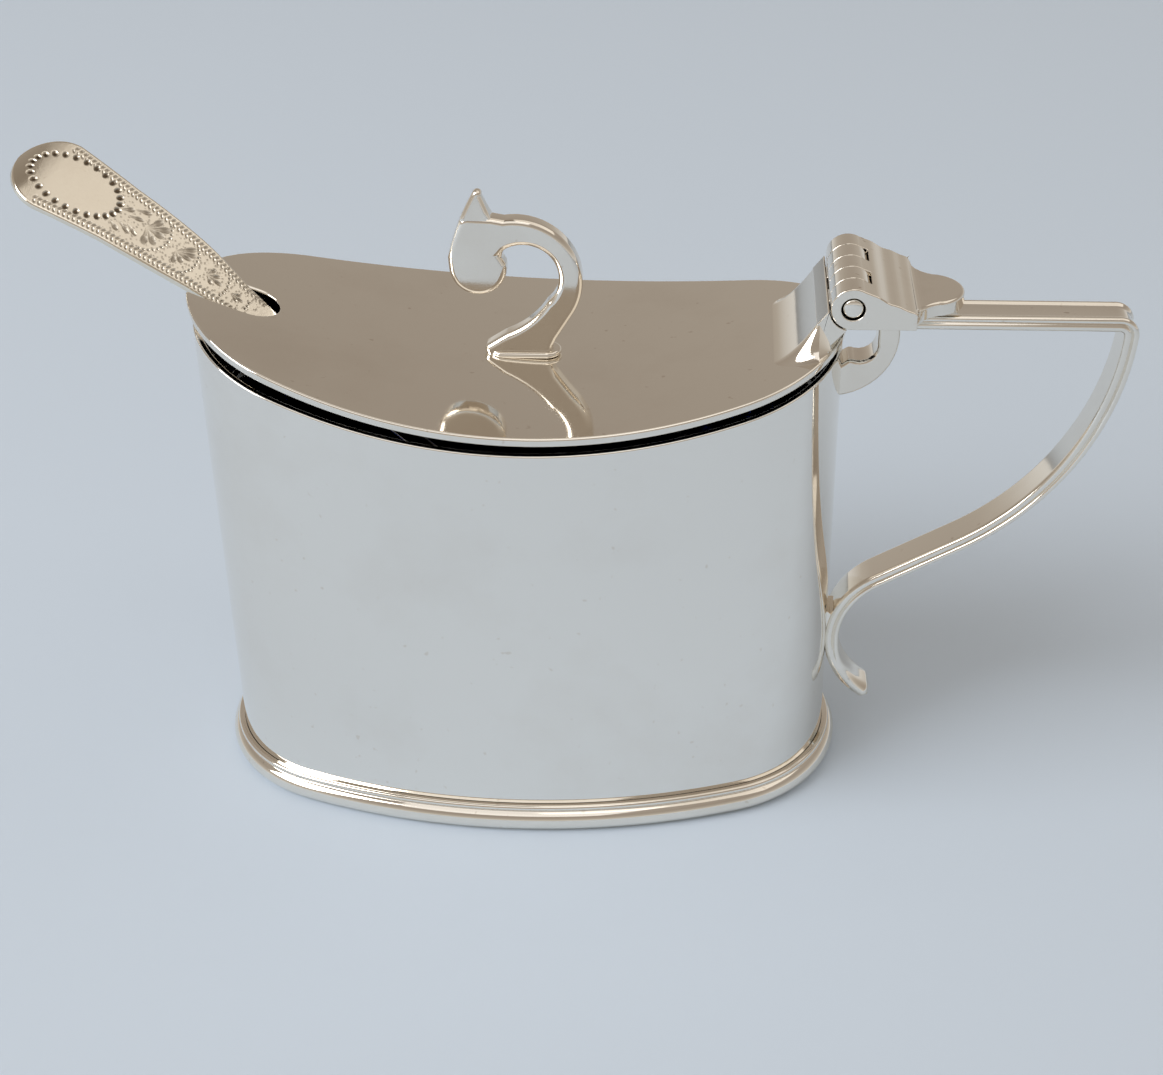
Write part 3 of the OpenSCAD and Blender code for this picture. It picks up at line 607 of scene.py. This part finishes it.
plate_half, horn_half, horn_foot, horn_taper = 1.1, 1.06, 14.3, 0.17
plate = trace("finial_plate", (-3.3, -0.5), [
    (3, -0.5), (3.15, 1.1), (3.55, 1.9), (5.21, 4.555), ((-0.3, 8), 131, 44), (-2.4, 14.62),
    (-4.723, 14.72), ((-4.723, 13.72), 75, 8), ((15.92, 5), 8.97, 8), (-6.746, 9.203),
    ((-3.95, 9.35), 187, 44), (-1.75, 10.75), (-1.3, 11.283), ((0.5, 8.4), -171.6, 48),
    ((-4.8, 10.6), -36, 18), (-3.4, 1.15), (-3.6, 0.7), (-3.3, -0.5)], upright=True)
bpy.ops.transform.translate(value=(finial_x * mm, -plate_half * mm, finial_z * mm))
draw_out((0, 2 * plate_half * mm, 0))
finish_mesh(plate, 0.62, 6)
# The horn at the top is filed thinner and runs out to a blunt point
horn = trace("finial_horn", (-5.3, 13.6), [
    (-2.3, 13.6), (-2.45, 14.6), (-2.8, 15.35), (-3.32, 16.62), ((-3.76, 16.78), 170, 8),
    ((15.92, 5), 7.4, 8), (-5.3, 13.6)], upright=True)
bpy.ops.transform.translate(value=(finial_x * mm, -horn_half * mm, finial_z * mm))
draw_out((0, 2 * horn_half * mm, 0))
bpy.ops.object.mode_set(mode="OBJECT")
for vertex in horn.data.vertices:
    vertex.co.y *= 1 - horn_taper * max(vertex.co.z / mm - finial_z - horn_foot, 0)
finish_mesh(horn, 0.4, 5)
finial = joined("finial_scroll", [plate, horn])
put_on(finial, "finial_scroll", "lid", silver_cast)


# Spoon
# A forged silver mustard spoon. Its handle is bright-cut: a blank oval inside a row of punched
# dots, nicked borders along both edges, and fern sprays down the middle to the stem.

stem_root, stem_end, stem_half = -46.7, -3, 1.1
tip_half, tip_long, tip_centre, arch, curl_start = 4.4, 4.13, 24.2, 84, 24.6
neck, flare = (-5, 3), (2.5, 7)
oval_x, oval_long, oval_half, oval_dots = 22.4, 4.6, 2.8, 26
strokes = []


def cut(x, y, length, width, turn, depth):
    """One stroke of the graver, as a pointed oval: its middle, size and direction."""
    strokes.append((x, y, length / 2, width / 2, cos(radians(turn)), sin(radians(turn)), depth))


def step_up(x, start, length):
    """Nothing before the start, one after the length, with a soft step between them."""
    f = min(max((x - start) / length, 0), 1)
    return f * f * (3 - 2 * f)


def half_width(x):
    """Half of the handle's width at a distance from the notch."""
    if x > tip_centre:
        return sqrt(max(1 - ((x - tip_centre) / tip_long) ** 2, 0)) * tip_half
    swell = 0.24 * sin(math.pi * (x - 3) / 14.5) if 3 < x < 17.5 else 0
    wider = 0.12 * step_up(x, *neck) + 0.08 * step_up(x, *flare)
    spread = max(x - stem_end, 0) / (tip_centre - stem_end)
    return stem_half + spread * (tip_half - 0.2 - stem_half) + swell + wider


def border(x):
    """How far the borders have grown to their full depth at a distance from the notch."""
    return min(1, 0.35 + x / 14)


def petal(root, tip, width):
    """A tapered cut from a narrow root to a broad, deep tip."""
    (xa, ya), (xb, yb) = root, tip
    turn = math.degrees(math.atan2(yb - ya, xb - xa))
    length = math.hypot(xb - xa, yb - ya)
    cut((xa + xb) / 2, (ya + yb) / 2, length, width * 0.5, turn, 0.05)
    cut(xa + (xb - xa) * 0.72, ya + (yb - ya) * 0.72, length * 0.62, width, turn, 0.085)


# Dots round the blank oval
for i in range(oval_dots):
    turn = 2 * math.pi * i / oval_dots
    outwards = math.degrees(math.atan2(oval_long * sin(turn), 2.7 * cos(turn)))
    cut(oval_x + oval_long * cos(turn), -0.2 + oval_half * sin(turn), 0.8, 0.62, outwards, 0.14)
# Borders of nicks, in two rows that lean opposite ways
for side in (-1, 1):
    x = 0.8
    while x < 24.5:
        for row, lean in ((0.62, 58), (1.08, -52)):
            y = half_width(x) - row * border(x)
            cut(x + row * 0.3, side * y, 0.6, 0.27, -side * lean, 0.075)
        x += 0.5
# Leaves behind the oval, then four sprays, each with a scalloped row of punch marks round it
for root, tip, width in (
        ((17.9, 1.2), (16.6, 1.75), 0.55), ((17.2, 0.7), (15.6, 1.35), 0.5),
        ((16.4, 0.45), (14.9, 1.15), 0.45), ((17.7, -0.5), (16.5, -1.2), 0.6),
        ((16.8, -0.3), (15.2, -0.75), 0.5), ((16.6, -1.3), (15, -1.85), 0.5)):
    petal(root, tip, width)
for root, tips, width in (
        ((14.6, -0.3), ((12.5, -1.5), (12.7, -0.4), (13, 0.85), (13.9, 1.45), (13.7, -1.9)), 0.75),
        ((11.1, 0.05), ((9.9, 0.75), (9.3, -0.1), (9.1, -0.75), (9.5, -1.4), (10.6, 1.3)), 0.6),
        ((7.3, 0.15), ((6.4, 0.7), (5.5, 0.1), (6.1, -0.55), (6.9, -0.95)), 0.45),
        ((4.4, 0.1), ((3.4, 0.45), (2.9, 0.05), (3.4, -0.4)), 0.32)):
    for tip in tips:
        petal(root, tip, width)
    ring = math.hypot(root[0] - tips[1][0], root[1] - tips[1][1]) + 0.55
    for i in range(15):
        turn = radians(105 + i * 150 / 14)
        x, y = root[0] + ring * cos(turn), root[1] + ring * sin(turn)
        if abs(y) < half_width(x) - 1.2:
            cut(x, y, 0.3, 0.26, 0, 0.09)

# The handle is one sheet of vertices, wrapped from the engraved face round to the plain back
stem_rings, broad_rings, tip_rings, across, under, rounding = 60, 370, 70, 110, 10, 0.35
rings = stem_rings + broad_rings + tip_rings
stations = [stem_root + (stem_end - stem_root) * i / stem_rings for i in range(stem_rings)]
stations += [stem_end + (tip_centre - stem_end) * i / broad_rings for i in range(broad_rings)]
stations += [tip_centre + tip_long * sin(math.pi / 2 * i / tip_rings) for i in range(tip_rings + 1)]
at_station = [[s for s in strokes if abs(x - s[0]) < s[2]] for x in stations]
bpy.ops.object.select_all(action="DESELECT")
bpy.ops.mesh.primitive_grid_add(x_subdivisions=rings, y_subdivisions=across + under, size=2)
spoon = bpy.context.object
spoon.name = spoon.data.name = "mustard_spoon"
for name in ("cut", "field", "stipple"):
    spoon.data.attributes.new(name, "FLOAT", "POINT")
shade, grain, stipple = (spoon.data.attributes[name] for name in ("cut", "field", "stipple"))
for vertex in spoon.data.vertices:
    i = round((vertex.co.x + 1) / 2 * rings)
    j = round((vertex.co.y + 1) / 2 * (across + under))
    x = stations[i]
    half = half_width(x)
    if j <= across:
        share, face = 1 - 2 * j / across, 0.5
    else:
        share, face = -1 + 2 * (j - across) / under, -0.5
    y = half * share
    edge = max(abs(y) - (half - rounding), 0) / rounding if half > 0.36 else 1
    z = face * sqrt(max(1 - min(edge, 1) ** 2, 0))
    deep = 0
    if face > 0:
        for sx, sy, a, b, c, s, depth in at_station[i]:
            dx, dy = x - sx, y - sy
            u, v = (dx * c + dy * s) / a, (-dx * s + dy * c) / b
            if u * u + v * v < 1:
                deep = max(deep, depth * (1 - u * u - v * v))
        oval = ((x - oval_x) / 4.9) ** 2 + ((y + 0.3) / 3) ** 2
        inside = min(max((half - abs(y) - 0.3) / 0.15, 0), 1) * step_up(x, -1, 2)
        grain.data[vertex.index].value = inside * (1 - step_up(x + 0.25 * y, 25.6, 1.5))
        if oval > 1 and deep == 0 and 1 < x < 18.5 and abs(y) < half - 1.35 * border(x):
            stipple.data[vertex.index].value = 1
    z -= deep
    shade.data[vertex.index].value = min(deep / 0.12, 1)
    if x > 0:
        z += sqrt(arch ** 2 - x ** 2) - arch
    if x > curl_start:
        z -= (0.05 - 0.005 * y) * (x - curl_start) ** 2
    vertex.co = Vector((x, y - 0.12 * step_up(x, *neck) - 0.23 * step_up(x, *flare), z)) * mm
finish_mesh(spoon)

bowl_end, bowl_half, bowl_curve, bowl_axis, bowl_drop = -67.738, 11, 19.036, 4.973, 11.063
bowl_rim, bowl_wall = 0.5, 0.75
bpy.ops.object.select_all(action="DESELECT")
bpy.ops.mesh.primitive_grid_add(x_subdivisions=48, y_subdivisions=36, size=2)
bowl = bpy.context.object
for vertex in bowl.data.vertices:
    x = bowl_half * sin(math.pi / 2 * vertex.co.x)
    radius = sqrt(bowl_curve ** 2 - x ** 2) - bowl_drop
    turn = math.acos(min((bowl_axis - bowl_rim) / radius, 1)) * vertex.co.y
    vertex.co = Vector((x + bowl_half + bowl_end, radius * sin(turn), bowl_axis - radius * cos(turn))) * mm
bpy.ops.object.mode_set(mode="EDIT")
bpy.ops.mesh.select_all(action="SELECT")
bpy.ops.mesh.remove_doubles(threshold=weld)
bpy.ops.object.mode_set(mode="OBJECT")
shell = bowl.modifiers.new("bowl wall", "SOLIDIFY")
shell.thickness = bowl_wall * mm
shell.offset = -1
bpy.ops.object.modifier_apply(modifier=shell.name)
finish_mesh(bowl, 0.2, 3)
spoon = joined("mustard_spoon", [spoon, bowl])
notch_spot, spoon_turn, spoon_lean, spoon_roll = Vector((-25.3, 0, 49.390)), 175.4, -41, -30
spoon.matrix_world = (
    Matrix.Translation(notch_spot * mm) @ Matrix.Rotation(radians(spoon_turn), 4, "Z")
    @ Matrix.Rotation(radians(spoon_lean), 4, "Y") @ Matrix.Rotation(radians(spoon_roll), 4, "X"))
bpy.ops.object.transform_apply()
silver_spoon = polished_silver("bright_cut_silver", "EFE8DA", rough=0.1, wobble=0.006,
                               hairlines=0.6, tarnish=0.15)
tree = silver_spoon.node_tree
shader = tree.nodes["Principled BSDF"]
place = add(tree, "ShaderNodeTexCoord").outputs["Object"]
# The graver's cuts hold brown sulphide that polishing doesn't reach
groove = add(tree, "ShaderNodeAttribute", attribute_name="cut").outputs["Fac"]
clean = shader.inputs["Base Color"].links[0].from_socket
# Punch marks of 0.15 mm, 0.34 mm apart, fill the ground between the sprays
punch = add(tree, "ShaderNodeTexVoronoi", {"Vector": place, "Scale": 1 / (0.34 * mm)}).outputs["Distance"]
mark = add(tree, "ShaderNodeMapRange", {"Value": punch, "From Min": 0.42, "From Max": 0.2, "To Max": 0.4})
ground = add(tree, "ShaderNodeAttribute", attribute_name="stipple").outputs["Fac"]
peck = add(tree, "ShaderNodeMath", {0: mark.outputs["Result"], 1: ground, 2: groove},
           operation="MULTIPLY_ADD", use_clamp=True)
stain = add(tree, "ShaderNodeMix", {"Factor": peck.outputs[0], "A": clean, "B": linear("5E5040")},
            data_type="RGBA")
tree.links.new(stain.outputs["Result"], shader.inputs["Base Color"])
# The engraved field is rubbed soft and a little grainy, about 0.3 mm from grain to grain
field = add(tree, "ShaderNodeAttribute", attribute_name="field").outputs["Fac"]
bright = shader.inputs["Roughness"].links[0].from_socket
rubbed = add(tree, "ShaderNodeMath", {0: field, 1: 0.22, 2: bright}, operation="MULTIPLY_ADD")
tree.links.new(rubbed.outputs[0], shader.inputs["Roughness"])
sand = add(tree, "ShaderNodeTexNoise",
           {"Vector": place, "Scale": 1 / (0.3 * mm), "Detail": 2}).outputs["Fac"]
dent = add(tree, "ShaderNodeMath", {0: peck.outputs[0], 1: -2.5, 2: sand}, operation="MULTIPLY_ADD")
tooth = add(tree, "ShaderNodeMath", {0: dent.outputs[0], 1: field}, operation="MULTIPLY")
smooth = shader.inputs["Normal"].links[0].from_socket
matte = add(tree, "ShaderNodeBump",
            {"Height": tooth.outputs[0], "Normal": smooth, "Strength": 1, "Distance": 0.02 * mm})
tree.links.new(matte.outputs["Normal"], shader.inputs["Normal"])
put_on(spoon, "spoon", "spoon", silver_spoon)


# Table, light and camera
# A plain pale sheet to stand on, a large soft light from the left, weaker ones from the right and
# above, and a warm grey room that the lid mirrors. The camera stands where the photo was taken.

bpy.ops.object.select_all(action="DESELECT")
bpy.ops.mesh.primitive_plane_add(size=6)
floor = bpy.context.object
floor.name = "pale_floor"
sheet = bpy.data.materials.new("pale_paper")
sheet.use_nodes = True
tree = sheet.node_tree
shader = tree.nodes["Principled BSDF"]
shader.inputs["Base Color"].default_value = linear("D2E0F0")
shader.inputs["Roughness"].default_value = 0.9
shader.inputs["Specular IOR Level"].default_value = 0.1
floor.data.materials.append(sheet)

for name, size, spot, aim, power, tone in (
        ("window", 0.85, (-1.0, -0.5, 0.9), (0, 0, 0.03), 11, "FFFFFF"),
        ("fill", 0.95, (0.36, 0.03, 0.95), (0, 0, 0.03), 1.6, "FFFAF2"),
        ("ceiling", 0.7, (-0.1, -0.55, 1.0), (0, 0, 0.02), 1.0, "FFFFFF")):
    lamp = bpy.data.objects.new(name, bpy.data.lights.new(name, "AREA"))
    bpy.context.scene.collection.objects.link(lamp)
    lamp.data.size = size
    lamp.data.energy = power
    lamp.data.color = linear(tone)[:3]
    lamp.location = spot
    lamp.rotation_euler = (Vector(aim) - Vector(spot)).to_track_quat("-Z", "Y").to_euler()

world = bpy.data.worlds.new("room")
bpy.context.scene.world = world
world.use_nodes = True
tree = world.node_tree
sky = add(tree, "ShaderNodeTexCoord").outputs["Generated"]
height = add(tree, "ShaderNodeSeparateXYZ", {"Vector": sky})
tones = add(tree, "ShaderNodeValToRGB", {"Fac": height.outputs["Z"]})
tones.color_ramp.elements[0].position = 0
tones.color_ramp.elements[0].color = linear("D8D6D2")
tones.color_ramp.elements[1].position = 1
tones.color_ramp.elements[1].color = linear("857A6E")
for position, tone in ((0.22, "B4ACA2"), (0.5, "A0968B"), (0.8, "A79E94")):
    tones.color_ramp.elements.new(position).color = linear(tone)
tree.links.new(tones.outputs["Color"], tree.nodes["Background"].inputs["Color"])

eye = Vector((19.677, -176.287, 136.667)) * mm
yaw, pitch, roll = 0.0779, 0.5639, -0.0215
ahead = Vector((-sin(yaw) * cos(pitch), cos(yaw) * cos(pitch), -sin(pitch)))
right = Vector((cos(yaw), sin(yaw), 0))
up = right.cross(ahead)
right, up = cos(roll) * right + sin(roll) * up, cos(roll) * up - sin(roll) * right
camera = bpy.data.objects.new("camera", bpy.data.cameras.new("camera"))
bpy.context.scene.collection.objects.link(camera)
camera.data.sensor_fit = "HORIZONTAL"
camera.data.sensor_width = 36
camera.data.lens = 61.559
camera.data.clip_start = 0.01
camera.matrix_world = Matrix.Translation(eye) @ Matrix((right, up, -ahead)).transposed().to_4x4()
bpy.context.scene.camera = camera
bpy.context.scene.view_settings.view_transform = "Standard"
